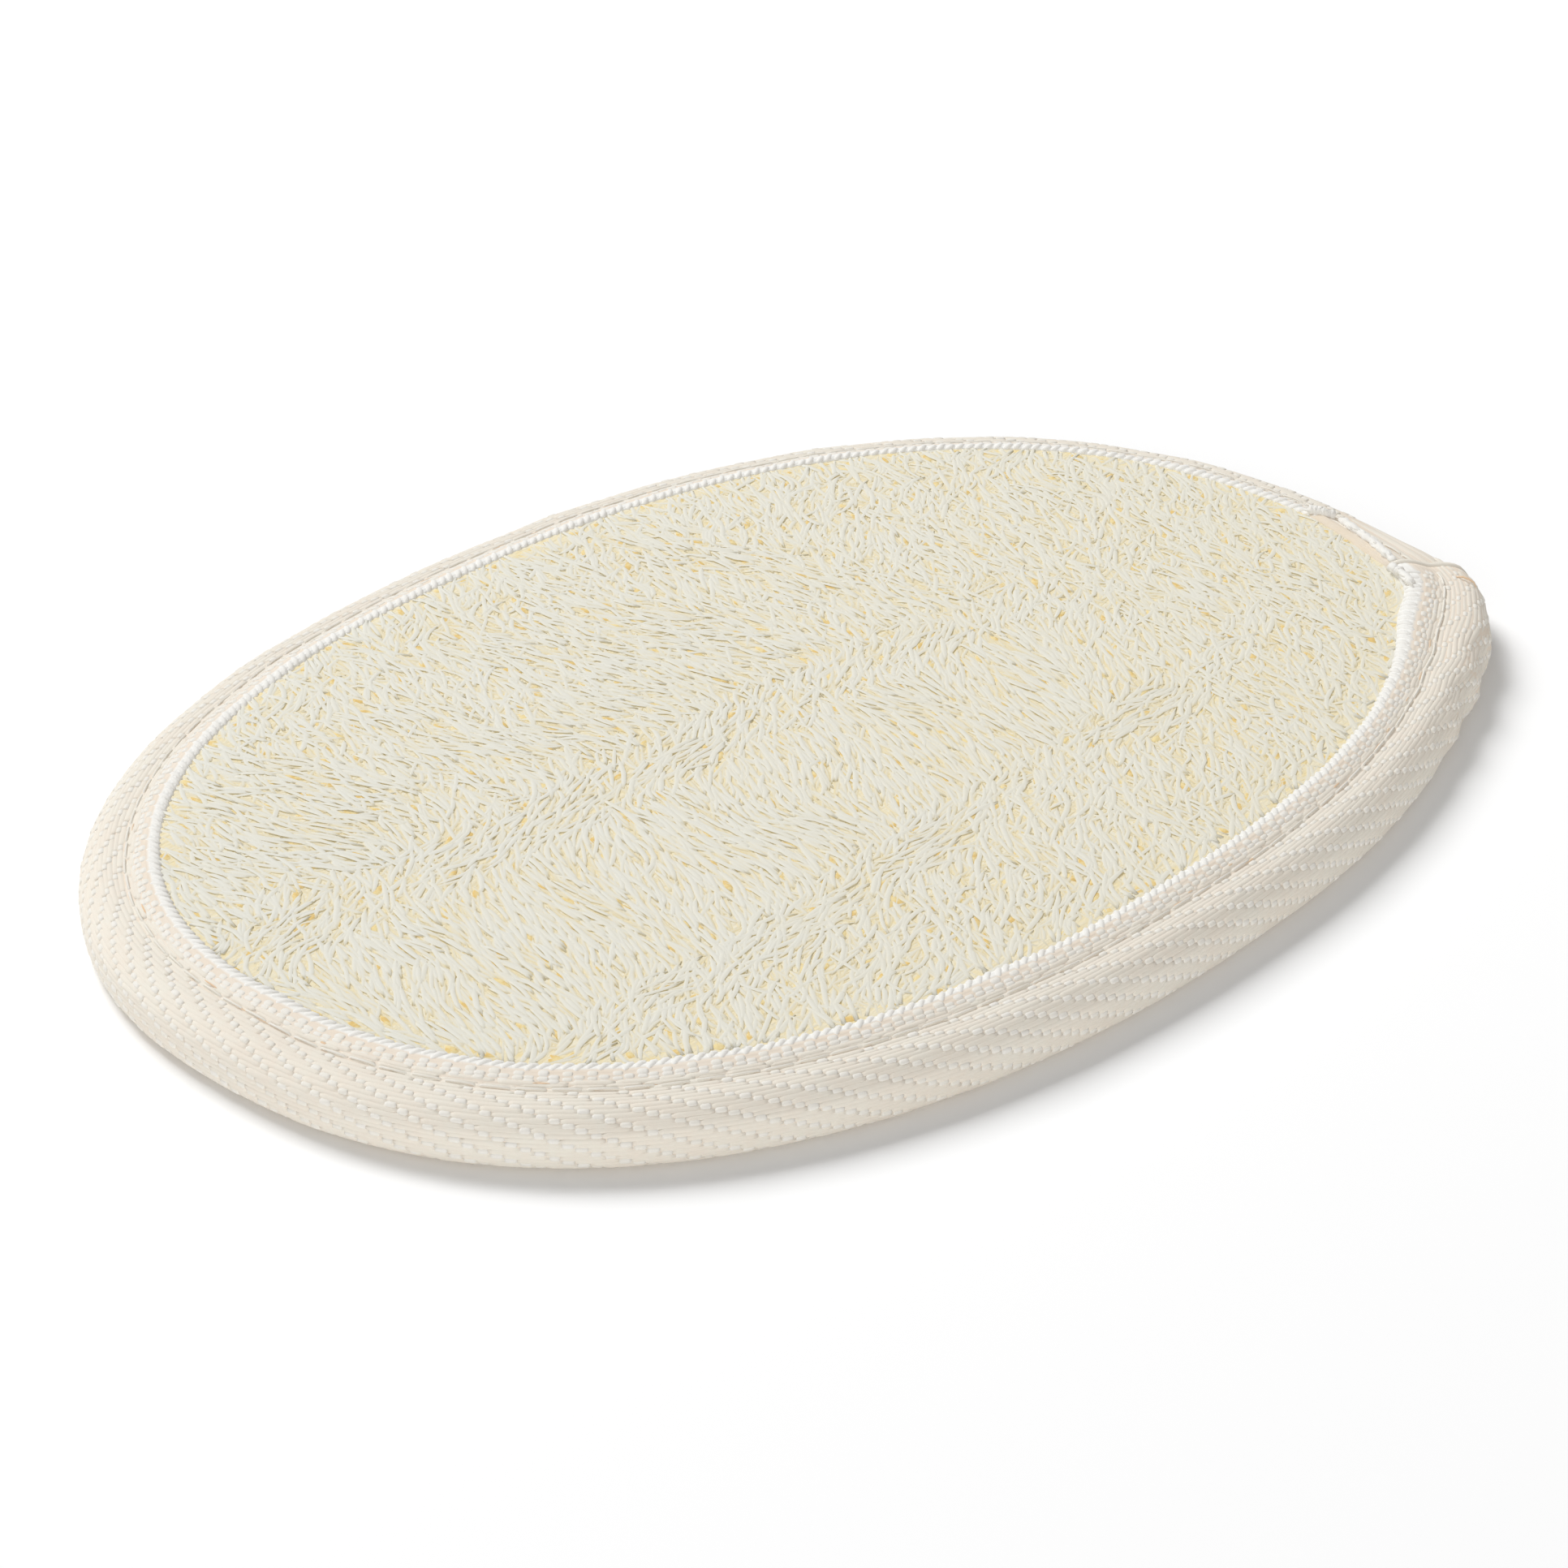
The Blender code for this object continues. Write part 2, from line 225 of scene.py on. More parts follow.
def tapePoints(along, across, lift):
    # Places on the folded tape: length along it, distance across it, lift off its face
    along = np.asarray(along, float)
    across = np.asarray(across, float)
    outer = np.stack([np.interp(along, seamLength, allOuter[:, k]) for k in (0, 1)], axis=1)
    inner = np.stack([np.interp(along, seamLength, allInner[:, k]) for k in (0, 1)], axis=1)
    share = np.interp(across, profileLength, profileShare)
    height = np.interp(across, profileLength, profileHeight)
    inwardSlope = np.interp(across, profileLength, profileShareStep) * outline["tapeReach"]
    heightSlope = np.interp(across, profileLength, profileHeightStep)
    inwardWay = inner - outer
    inwardWay /= np.linalg.norm(inwardWay, axis=1)[:, None]
    # The profile runs outwards over the top, so its outward normal is its tangent turned left
    normalInward = heightSlope
    normalUp = -inwardSlope
    size = np.hypot(normalInward, normalUp)
    normalInward, normalUp = normalInward / size, normalUp / size
    reach = tape["wanderReach"]
    edge = np.clip(1 - across / reach, 0, 1) + np.clip(1 - (tapeWidth - across) / reach, 0, 1)
    wander = tape["edgeWander"] * waves(along, tape["wanderPeriod"], 3) * edge
    swell = tape["swell"] * waves(along, tape["swellPeriod"], 8)
    top = 1 - smoothStep(across, 0.30 * tapeWidth, 0.46 * tapeWidth)
    raised = tape["lapRise"] * smoothStep(along, lapStart, tapeEnd - 4 * mm) * np.clip(top + 0.12, 0, 1)
    sunk = -tape["lapSunk"] * (1 - smoothStep(along, lapUnder - 1 * mm, lapUnder + 5 * mm))
    offset = lift + (raised + sunk + swell * top)
    place = outer + (inner - outer) * share[:, None]
    place = place + inwardWay * (normalInward * offset + wander)[:, None]
    z = height + normalUp * offset
    return np.stack([place[:, 0], place[:, 1], np.maximum(z, 0.02 * mm)], axis=1)


def tapeTilt(across):
    # Turn of a yarn along the tape that lays its flat side on the tape's face
    shareStep = np.interp(across, profileLength, profileShareStep)
    heightStep = np.interp(across, profileLength, profileHeightStep)
    return math.atan2(-heightStep, -shareStep * outline["tapeReach"])


def newPiece(name, data, material):
    piece = bpy.data.objects.new(name, data)
    bpy.context.scene.collection.objects.link(piece)
    data.materials.append(material)
    data.shade_smooth()
    return piece


# Cross-sections of yarns in shares of their radius. The low ones are broad on top.
sections = {
    "round": [(math.cos(turn), math.sin(turn)) for turn in np.linspace(0, 2 * np.pi, 7)[:-1]],
    "fine": [(1, 0), (0, 1), (-1, 0), (0, -1)],
    "low": [(1.0, -0.22), (0.5, 0.13), (-0.5, 0.13), (-1.0, -0.22)],
    "ridge": [(1.0, -0.2), (0.0, 0.18), (-1.0, -0.2)],
    "bed": [(1.0, -0.22), (0.6, 0.1), (-0.6, 0.1), (-1.0, -0.22)],
    "pearl": [(1.0, -0.3), (0.62, 0.2), (0.0, 0.32), (-0.62, 0.2), (-1.0, -0.3)],
}


def yarnPiece(name, routes, radius, section, material):
    # Many short yarns as one curve with a cross-section, made a closed mesh. A route is a
    # list of points, the share of the radius at each and, if need be, a tilt.
    shape = sections[section]
    sectionCurve = bpy.data.curves.new(name + "Section", "CURVE")
    ring = sectionCurve.splines.new("POLY")
    ring.points.add(len(shape) - 1)
    for point, (x, y) in zip(ring.points, shape):
        point.co = (radius * x, radius * y, 0, 1)
    ring.use_cyclic_u = True
    sectionShape = bpy.data.objects.new(name + "Section", sectionCurve)
    curve = bpy.data.curves.new(name + "Curve", "CURVE")
    curve.dimensions = "3D"
    curve.twist_mode = "Z_UP"
    curve.bevel_mode = "OBJECT"
    curve.bevel_object = sectionShape
    curve.use_fill_caps = True
    for points, radii, *tilt in routes:
        spline = curve.splines.new("POLY")
        spline.points.add(len(points) - 1)
        flat = np.ones((len(points), 4))
        flat[:, :3] = points
        spline.points.foreach_set("co", flat.ravel())
        spline.points.foreach_set("radius", np.asarray(radii, float))
        if tilt:
            spline.points.foreach_set("tilt", np.full(len(points), float(tilt[0])))
    guide = bpy.data.objects.new(name + "Guide", curve)
    for item in (sectionShape, guide):
        bpy.context.scene.collection.objects.link(item)
    bpy.context.view_layer.update()
    data = bpy.data.meshes.new_from_object(guide.evaluated_get(bpy.context.evaluated_depsgraph_get()))
    for item in (guide, sectionShape):
        bpy.data.objects.remove(item)
    for item in (curve, sectionCurve):
        bpy.data.curves.remove(item)
    data.name = name
    mesh = bmesh.new()
    mesh.from_mesh(data)
    bmesh.ops.remove_doubles(mesh, verts=mesh.verts, dist=0.0002 * mm)
    bmesh.ops.recalc_face_normals(mesh, faces=mesh.faces)
    mesh.to_mesh(data)
    mesh.free()
    print(name, len(routes), "yarns", len(data.polygons), "faces")
    piece = newPiece(name, data, material)
    # so that a yarn's flat back doesn't darken the edges of its face
    data.set_sharp_from_angle(angle=math.radians(100))
    return piece


class Wire:
    # Wraps a socket, so that shader maths reads as plain expressions
    def __init__(self, tree, socket):
        self.tree = tree
        self.socket = socket

    def math(self, operation, *others):
        node = self.tree.nodes.new("ShaderNodeMath")
        node.operation = operation
        for slot, value in enumerate((self,) + others):
            link(self.tree, node.inputs[slot], value)
        return Wire(self.tree, node.outputs[0])

    def __add__(self, other):
        return self.math("ADD", other)

    def __radd__(self, other):
        return self.math("ADD", other)

    def __mul__(self, other):
        return self.math("MULTIPLY", other)

    def __rmul__(self, other):
        return self.math("MULTIPLY", other)

    def __sub__(self, other):
        return self.math("SUBTRACT", other)

    def __rsub__(self, other):
        return (self * -1) + other


def link(tree, socket, value):
    if isinstance(value, Wire):
        tree.links.new(value.socket, socket)
    else:
        socket.default_value = value


class Finish:
    # A Principled material and one way to add any node to it
    def __init__(self, name, roughness, specular, paintedGlow=None, paintedGlowStrength=0.0):
        self.material = bpy.data.materials.new(name)
        self.material.use_nodes = True
        self.tree = self.material.node_tree
        self.shader = self.tree.nodes["Principled BSDF"]
        self.shader.inputs["Roughness"].default_value = roughness
        self.shader.inputs["Specular IOR Level"].default_value = specular
        # painted light: the material glows a little, which lifts its shadows and warms them as light coming
        # through the fibres would
        if paintedGlow:
            self.shader.inputs["Emission Color"].default_value = paintedGlow
        self.shader.inputs["Emission Strength"].default_value = paintedGlowStrength

    def node(self, kind, settings=None, output=0, **values):
        node = self.tree.nodes.new("ShaderNode" + kind)
        for key, value in (settings or {}).items():
            setattr(node, key, value)
        for key, value in values.items():
            link(self.tree, node.inputs[key.replace("_", " ")], value)
        return Wire(self.tree, node.outputs[output])

    def place(self):
        return self.node("TexCoord", output=3)

    def mixColour(self, share, first, second):
        node = self.tree.nodes.new("ShaderNodeMix")
        node.data_type = "RGBA"
        link(self.tree, node.inputs[0], share)
        link(self.tree, node.inputs[6], first)
        link(self.tree, node.inputs[7], second)
        return Wire(self.tree, node.outputs[2])

    def noise(self, scale, detail=2.0, roughness=0.5, vector=None):
        vector = vector or self.place()
        return self.node("TexNoise", Vector=vector, Scale=scale, Detail=detail, Roughness=roughness)

    def ramp(self, value, low, high):
        return self.node("MapRange", {"interpolation_type": "SMOOTHSTEP"}, Value=value,
                         From_Min=low, From_Max=high)

    def feed(self, socket, value):
        link(self.tree, self.shader.inputs[socket], value)

    def bump(self, height, strength, distance):
        self.feed("Normal", self.node("Bump", Height=height, Strength=strength, Distance=distance))


def colour(red, green, blue):
    # From 0 to 255 screen values to linear light
    def linear(value):
        value /= 255
        return value / 12.92 if value <= 0.04045 else ((value + 0.055) / 1.055) ** 2.4
    return (linear(red), linear(green), linear(blue), 1.0)


loofahLook = {
    "ivory": colour(203, 204, 201),
    "straw": colour(205, 202, 190),
    "ochre": colour(208, 191, 145),
    "deepOchreAndShade": colour(197, 165, 100),
    # colours of the painted glow: light that lifts and warms the shadows
    "paintedGlow": colour(235, 220, 171),
    "paintedDeepGlow": colour(233, 215, 160),
}


def loofahFinish():
    look = loofahLook
    # the fibres glow a little: painted light that lifts and warms their shadows
    finish = Finish("loofahFibre", roughness=0.75, specular=0.15, paintedGlow=look["paintedGlow"], paintedGlowStrength=0.16)
    depth = finish.node("Attribute", {"attribute_name": "depth"}, output=2)
    patches = finish.ramp(finish.noise(160.0, 3.0), 0.35, 0.7)
    fine = finish.ramp(finish.noise(900.0, 2.0), 0.3, 0.75)
    # painted shade: the pad is drawn a little yellower and darker towards its near right end, where the
    # light is weaker
    x = finish.node("SeparateXYZ", output=0, Vector=finish.place())
    y = finish.node("SeparateXYZ", output=1, Vector=finish.place())
    yellow = finish.ramp(x * 0.66 - y * 0.75, -60 * mm, 60 * mm)
    pale = finish.mixColour(patches * 0.25 + fine * 0.25 + yellow * 0.3, look["ivory"], look["straw"])
    # deeper points are drawn ochre: partly the inner fibres' own colour and partly painted shade between
    # the fibres
    finish.feed("Base Color", finish.mixColour(finish.ramp(depth, 0.16, 0.9), pale, look["ochre"]))
    finish.bump(finish.noise(5200.0, 2.0), 0.15, 0.03 * mm)
    return finish.material


def coreFinish():
    # Matted finer fibres under the raised ones, drawn as two stretched grains
    look = loofahLook
    # the core glows a little: painted light that lifts and warms its shadows
    finish = Finish("loofahCore", roughness=0.8, specular=0.1, paintedGlow=look["paintedDeepGlow"], paintedGlowStrength=0.22)
    nearRim = finish.node("Attribute", {"attribute_name": "nearRim"}, output=2)
    grain = 0
    for turn, seed in ((1.15, 0.0), (0.45, 0.3)):
        stretched = finish.node("Mapping", Vector=finish.place(), Location=(seed, seed, 0.0),
                                Rotation=(0.0, 0.0, -turn), Scale=(0.3, 1.5, 1.0))
        grain = finish.noise(1500.0, 2.0, 0.5, stretched) + grain
    spots = finish.ramp(finish.noise(650.0, 3.0, 0.6), 0.48, 0.66)
    # the low parts of the grain are drawn ochre: partly the inner fibres' own colour and partly painted
    # shade in its hollows
    low = 1 - finish.ramp(grain, 0.8, 1.05)
    yellow = spots * 0.35 + low * 0.3 + nearRim * 0.25
    finish.feed("Base Color", finish.mixColour(yellow, look["straw"], look["ochre"]))
    finish.bump(grain, 0.7, 0.2 * mm)
    return finish.material


def hollowFinish():
    look = loofahLook
    # the openings glow a little: painted light that lifts and warms their shadows
    finish = Finish("loofahHollow", roughness=0.9, specular=0.1, paintedGlow=look["paintedDeepGlow"], paintedGlowStrength=0.22)
    spots = finish.ramp(finish.noise(900.0, 3.0, 0.6), 0.38, 0.6)
    # the openings mix ochre with a darker brown at random: partly the inner fibres' own colour and partly
    # painted shade deep in the openings
    finish.feed("Base Color", finish.mixColour(spots, look["deepOchreAndShade"], look["ochre"]))
    finish.bump(finish.noise(2600.0, 3.0, 0.6), 0.5, 0.2 * mm)
    return finish.material


tapeLook = {
    "cream": colour(211, 208, 198),
    "peach": colour(212, 203, 191),
    # painted shade: the darker pink-beige seen in the crevices between the yarns
    "shade": colour(211, 199, 184),
    "pearl": colour(214, 213, 209),
    "selvedge": colour(219, 220, 218),
    "border": colour(205, 196, 183),
    "tan": colour(206, 192, 170),
    "rust": colour(206, 168, 130),
    # colour of the painted glow: light that lifts and warms the shadows
    "paintedGlow": colour(232, 216, 196),
}


def yarnFinish(name, first, second):
    # the yarns glow a little: painted light that lifts and warms their shadows
    finish = Finish(name, roughness=0.9, specular=0.1, paintedGlow=tapeLook["paintedGlow"], paintedGlowStrength=0.16)
    patches = finish.ramp(finish.noise(140.0, 3.0), 0.3, 0.7)
    fine = finish.ramp(finish.noise(900.0, 3.0), 0.3, 0.7)
    finish.feed("Base Color", finish.mixColour(patches * 0.4 + fine * 0.4, first, second))
    finish.bump(finish.noise(6000.0, 3.0, 0.6), 0.3, 0.05 * mm)
    finish.shader.inputs["Sheen Weight"].default_value = 0.15
    return finish.material


def tapeFinish():
    look = tapeLook
    # the tape glows a little: painted light that lifts and warms its shadows
    finish = Finish("cottonTape", roughness=0.9, specular=0.1, paintedGlow=look["paintedGlow"], paintedGlowStrength=0.16)
    uv = finish.node("UVMap", {"uv_map": "tape"})
    along = finish.node("SeparateXYZ", output=0, Vector=uv)
    across = finish.node("SeparateXYZ", output=1, Vector=uv)
    ridge = (across * (2 * math.pi / weave["warp"])).math("SINE")
    patches = finish.ramp(finish.noise(160.0, 3.0), 0.3, 0.7)
    edge = (across - tapeWidth / 2).math("ABSOLUTE")
    white = finish.ramp(edge, tapeWidth / 2 - 1.7 * mm, tapeWidth / 2 - 1.3 * mm)
    # the lower end is turned under at the lap and shows no selvedge there
    white = white * finish.ramp(along, lapOpenEnd, lapOpenEnd + 2 * mm)
    # the ground between the yarns is drawn darker pink-beige: painted shade in the crevices between them
    ground = finish.mixColour(patches, look["shade"], look["peach"])
    finish.feed("Base Color", finish.mixColour(white, ground, look["selvedge"]))
    height = ridge * 0.5 + finish.noise(3000.0, 3.0) * 0.5
    finish.bump(height, 0.3, 0.08 * mm)
    return finish.material


loofahMaterial = loofahFinish()
coreMaterial = coreFinish()
hollowMaterial = hollowFinish()
tapeMaterial = tapeFinish()
floatMaterial = yarnFinish("cottonWarp", tapeLook["cream"], tapeLook["peach"])
pearlMaterial = yarnFinish("cottonWeft", tapeLook["pearl"], tapeLook["cream"])
selvedgeMaterial = yarnFinish("cottonSelvedge", tapeLook["selvedge"], tapeLook["pearl"])
threadMaterial = yarnFinish("cottonThread", tapeLook["cream"], tapeLook["pearl"])
borderMaterial = yarnFinish("cottonFold", tapeLook["border"], tapeLook["tan"])
rustMaterial = yarnFinish("tackingThread", tapeLook["rust"], tapeLook["tan"])
print("materials made")


def makeTape():
    steps = tape["stepsAlong"]
    rows = tape["stepsAcross"]
    mesh = bmesh.new()
    bmesh.ops.create_grid(mesh, x_segments=steps, y_segments=rows, size=1.0)
    mesh.verts.ensure_lookup_table()
    grid = np.array([vert.co for vert in mesh.verts])
    along = tapeStart + (grid[:, 0] * 0.5 + 0.5) * tapeLength
    across = (grid[:, 1] * 0.5 + 0.5) * tapeWidth
    places = tapePoints(along, across, np.full(len(along), -weave["sheetSunk"]))
    uvLayer = mesh.loops.layers.uv.new("tape")
    for vert, place, u, v in zip(mesh.verts, places, along, across):
        vert.co = place
        for corner in vert.link_loops:
            corner[uvLayer].uv = (u, v)
    bmesh.ops.reverse_faces(mesh, faces=mesh.faces)
    data = bpy.data.meshes.new("bindingTape")
    mesh.to_mesh(data)
    mesh.free()
    piece = newPiece("bindingTape", data, tapeMaterial)
    wall = piece.modifiers.new("wall", "SOLIDIFY")
    wall.thickness = tape["thickness"]
    wall.offset = -1.0
    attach(piece, "root")
    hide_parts("edge_binding")
    print("tape laid,", round(tapeWidth / mm, 1), "mm wide and", round(tapeLength / mm, 1), "mm long")
    return piece


def makeWeave(under):
    # Twill: every fourth crossing shows a weft pearl, and the warp floats over the rest.
    # The part of the tape under the pad has plainer yarns.
    rng = random.Random(12 + under)
    picks = int(tapeLength / weave["pick"])
    rows = int((tapeWidth - 2 * weave["grooveWidth"]) / weave["warp"])
    pearls = []
    floats = []
    for row in range(rows):
        across = weave["grooveWidth"] + (row + 0.5) * weave["warp"]
        if (across > weave["underShare"] * tapeWidth) != under:
            continue
        for pick in range((row % weave["repeat"]), picks, weave["repeat"]):
            middle = tapeStart + (pick + 0.5) * weave["pick"] + rng.gauss(0, 0.05) * mm
            if middle < lapUnder + 1 * mm or middle > tapeEnd - 1.2 * mm:
                continue
            if middle < lapOpenEnd and across < 0.45 * tapeWidth:
                continue
            # near the lap the tape is worn smooth
            worn = weave["worn"] * smoothStep(middle, tapeEnd - 32 * mm, tapeEnd - 12 * mm)
            half = weave["pearlLength"] / 2 * rng.uniform(0.88, 1.08)
            pearls.append((middle - half, 2 * half, across + rng.gauss(0, 0.03) * mm,
                           rng.uniform(-0.05, 0.03) * mm - worn, rng.uniform(0.9, 1.12)))
            reach = weave["repeat"] * weave["pick"] - 2 * half
            floats.append((middle + half - 0.1 * mm, reach + 0.2 * mm, across + rng.gauss(0, 0.02) * mm,
                           rng.uniform(-0.03, 0.03) * mm - worn, rng.uniform(0.92, 1.15)))
    # Beside the groove the yarns are stretched and less even
    for edge in weave["besideGroove"]:
        across = tapeWidth - edge if under else edge
        start = lapOpenEnd + rng.uniform(0, 4) * mm
        while start < tapeEnd - 6 * mm:
            length = rng.uniform(2.0, 4.4) * mm
            floats.append((start, length, across + rng.gauss(0, 0.05) * mm, rng.uniform(-0.05, 0.02) * mm,
                           rng.uniform(0.8, 1.05)))
            start += length * rng.uniform(0.96, 1.06)
    if under:
        shares, radii, section = (0.0, 0.5, 1.0), (0.6, 1.0, 0.6), "low"
    else:
        shares, radii, section = (0.0, 0.2, 0.8, 1.0), (0.65, 1.0, 1.0, 0.65), "pearl"
    side = "Under" if under else "Outer"
    sink = -weave["yarnSunk"]
    return [
        yarnPiece("weftPearls" + side, layAlong(pearls, shares, radii, sink), weave["pearlRadius"], section,
                  pearlMaterial),
        yarnPiece("warpFloats" + side, layAlong(floats, (0.0, 0.15, 0.85, 1.0), (0.6, 1.0, 1.0, 0.6), sink),
                  weave["floatRadius"], "low", floatMaterial),
    ]


def layAlong(items, shares, radii, sink):
    # Short yarns along the tape: start, length, place across, lift and thickness
    items = np.array(items)
    shares = np.array(shares)
    along = (items[:, 0:1] + items[:, 1:2] * shares).ravel()
    across = np.repeat(items[:, 2], len(shares))
    bow = np.array(radii)[None, :] - 1
    lift = (items[:, 3:4] + sink + bow * 0.12 * mm).ravel()
    places = tapePoints(along, across, lift).reshape(len(items), len(shares), 3)
    return [(route, np.array(radii) * item[4], tapeTilt(item[2])) for route, item in zip(places, items)]


selvedge = {
    "strandRadius": 0.40 * mm,
    "slant": 1.3 * mm,
    "width": 1.62 * mm,
    "tooth": 0.36 * mm,
    "overhang": 0.05 * mm,
    "sunk": 0.31 * mm,
    # Cells between the cord and the groove: place across, thickness, and at which picks
    "cells": [(2.0 * mm, 1.25, 0), (2.4 * mm, 0.95, 1), (2.52 * mm, 0.9, 0), (2.8 * mm, 0.9, 1)],
    "cellLength": 0.98 * mm,
}


def makeSelvedge(side, name):
    # A roped edge of slanted weft strands, every other one reaching further in as a tooth,
    # with cells between the teeth
    rng = random.Random(31 + side)
    pick = weave["pick"]
    first = lapOpenEnd + 1 * mm if side > 0 else lapUnder + 2 * mm
    sunk = selvedge["sunk"] + (0 if side > 0 else 0.1 * mm)
    strands = []
    cells = []
    for index in range(int((tapeEnd - 1.5 * mm - first) / pick)):
        middle = first + (index + 0.5) * pick + rng.gauss(0, 0.03) * mm
        tooth = selvedge["tooth"] * (index % 2) * rng.uniform(0.6, 1.1)
        reach = selvedge["width"] + tooth + rng.uniform(-0.05, 0.05) * mm
        shares = np.linspace(0, 1, 5)
        across = reach - (selvedge["overhang"] + reach) * shares
        along = middle + selvedge["slant"] * (shares - 0.5)
        lift = np.array([-0.14, -0.03, 0.0, -0.03, -0.12]) * mm - sunk + rng.uniform(-0.02, 0.02) * mm
        if side < 0:
            across = tapeWidth - across
        strands.append((tapePoints(along, across, lift), np.array([0.5, 0.9, 1.0, 0.95, 0.65])))
        for place, thickness, odd in selvedge["cells"]:
            if index % 2 == odd:
                length = selvedge["cellLength"] * rng.uniform(0.9, 1.05)
                place += rng.gauss(0, 0.03) * mm
                cells.append((middle + pick * (1 - odd) * 0.1 - length / 2, length,
                              place if side > 0 else tapeWidth - place, rng.uniform(-0.04, 0.02) * mm,
                              thickness * rng.uniform(0.92, 1.05)))
    cellRoutes = layAlong(cells, (0.0, 0.2, 0.8, 1.0), (0.65, 1.0, 1.0, 0.65), -0.09 * mm)
    return [
        yarnPiece(name, strands, selvedge["strandRadius"], "round", selvedgeMaterial),
        yarnPiece(name + "Cells", cellRoutes, weave["floatRadius"], "low", pearlMaterial),
    ]


marks = {
    "count": 30,
    "radius": 0.1 * mm,
    # length and distance across the tape, in mm
    "length": (0.8, 2.6),
    "place": (2.9, 3.7),
}


def makeMarks():
    # Short reddish yarns here and there along the groove: partly thread showing where the seam pulls the
    # weave open and partly painted warm shade in the groove
    rng = random.Random(83)
    items = []
    for _ in range(marks["count"]):
        start = rng.uniform(lapOpenEnd + 2 * mm, tapeEnd - 8 * mm)
        items.append((start, rng.uniform(*marks["length"]) * mm, rng.uniform(*marks["place"]) * mm, 0.0,
                      rng.uniform(0.5, 1.0)))
    routes = layAlong(items, (0.0, 0.3, 0.7, 1.0), (0.3, 1.0, 1.0, 0.3), -0.03 * mm)
    return yarnPiece("grooveMarks", routes, marks["radius"], "low", rustMaterial)


stitches = {
    "length": 3.0 * mm,
    "radius": 0.13 * mm,
    "place": 3.55 * mm,
}


def makeStitches(side, name, node):
    rng = random.Random(71 + side)
    routes = []
    count = int(tapeLength / stitches["length"])
    shares = np.array([0.0, 0.12, 0.5, 0.88, 1.0])
    for index in range(count):
        start = tapeStart + index * stitches["length"]
        if start < lapUnder:
            continue
        along = start + shares * stitches["length"] * 0.97
        across = np.full(5, stitches["place"]) + rng.uniform(-0.06, 0.06) * mm
        if side < 0:
            across = tapeWidth - across
        lift = np.array([-0.3, -0.02, 0.02, -0.02, -0.3]) * mm
        routes.append((tapePoints(along, across, lift), [0.8, 1.0, 1.0, 1.0, 0.8]))
    piece = yarnPiece(name, routes, stitches["radius"], "fine", threadMaterial)
    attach(piece, "root")
    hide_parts(node)
    return piece


# Bands of fibres that cross the pad: their middle line at the left and right end, half
# width, direction in degrees and how far single fibres stray from it in radians
flowBands = [
    (-43 * mm, -48 * mm, 12 * mm, 48.0, 0.42),
    (-26 * mm, -23 * mm, 2.4 * mm, 14.0, 0.45),
    (-14 * mm, -12 * mm, 9 * mm, 73.0, 0.20),
    (8 * mm, -3 * mm, 2.8 * mm, 28.0, 0.45),
    (23 * mm, 18 * mm, 11 * mm, 88.0, 0.40),
    (44 * mm, 40 * mm, 10 * mm, 70.0, 0.50),
]

fibres = {
    "length": (3.2 * mm, 6.8 * mm),
    "radius": 0.26 * mm,
    "points": 5,
    "topCell": 0.78 * mm,
    "underCell": 1.40 * mm,
    "thickness": (0.7, 1.15),
    "curl": 0.45,
    "curlLength": 4 * mm,
    "wave": 0.03 * mm,
    "waveLength": 1.5 * mm,
    "layer": 0.18 * mm,
    "sunk": 0.04 * mm,
    "tipDrop": 0.14 * mm,
    # how far a fibre runs on under the tape
    "underTape": 0.7 * mm,
    "swirlSize": 9 * mm,
    "swirl": 0.7,
    # towards the right end the bands give way to one direction
    "rightDegrees": 52.0,
    "rightStray": 0.5,
}

openings = {
    "cell": 3.4 * mm,
    "halfLength": (0.45 * mm, 1.0 * mm),
    "halfWidth": (0.10 * mm, 0.20 * mm),
    "roundness": 0.30 * mm,
    "bridged": 0.25,
    "sunk": 0.19 * mm,
    "radius": 0.4 * mm,
    "margin": 0.2 * mm,
    "reach": 4 * mm,
    # those beside the tape, their ranges in mm
    "rimChance": 0.7,
    "rimDistance": (0.3, 1.1),
    "rimHalfLength": (0.5, 0.9),
    "rimHalfWidth": (0.25, 0.5),
}


def flowAt(places):
    # Direction and stray of the fibres at each place
    along = places[:, 0] / outline["halfLength"]
    total = np.zeros((len(places), 2))
    strays = np.zeros(len(places))
    weights = np.full(len(places), 1e-6)
    for left, right, half, degrees, stray in flowBands:
        middle = left + (right - left) * (along + 1) / 2
        weight = np.exp(-(((places[:, 1] - middle) / half) ** 2)) * (3 * mm / half + 0.6)
        double = 2 * math.radians(degrees)
        total += weight[:, None] * np.array([math.cos(double), math.sin(double)])
        strays += weight * stray
        weights += weight
    strays /= weights
    total /= weights[:, None]
    right = smoothStep(along, 0.25, 0.6)[:, None]
    double = 2 * math.radians(fibres["rightDegrees"])
    total = total * (1 - right) + np.array([math.cos(double), math.sin(double)]) * right
    strays = strays * (1 - right[:, 0]) + fibres["rightStray"] * right[:, 0]
    size = fibres["swirlSize"]
    swirl = np.array([noise.noise(Vector((x / size, y / size, 4.7))) for x, y in places])
    return np.arctan2(total[:, 1], total[:, 0]) / 2 + fibres["swirl"] * swirl, strays


edgeTurns = np.linspace(-np.pi, np.pi, 361)[:-1]
edgeOuter, edgeInner, _ = rimTable(edgeTurns)
edgeTangent = np.roll(edgeInner, -1, axis=0) - np.roll(edgeInner, 1, axis=0)
edgeNormal = np.stack([edgeTangent[:, 1], -edgeTangent[:, 0]], axis=1)
edgeNormal /= np.linalg.norm(edgeNormal, axis=1)[:, None]

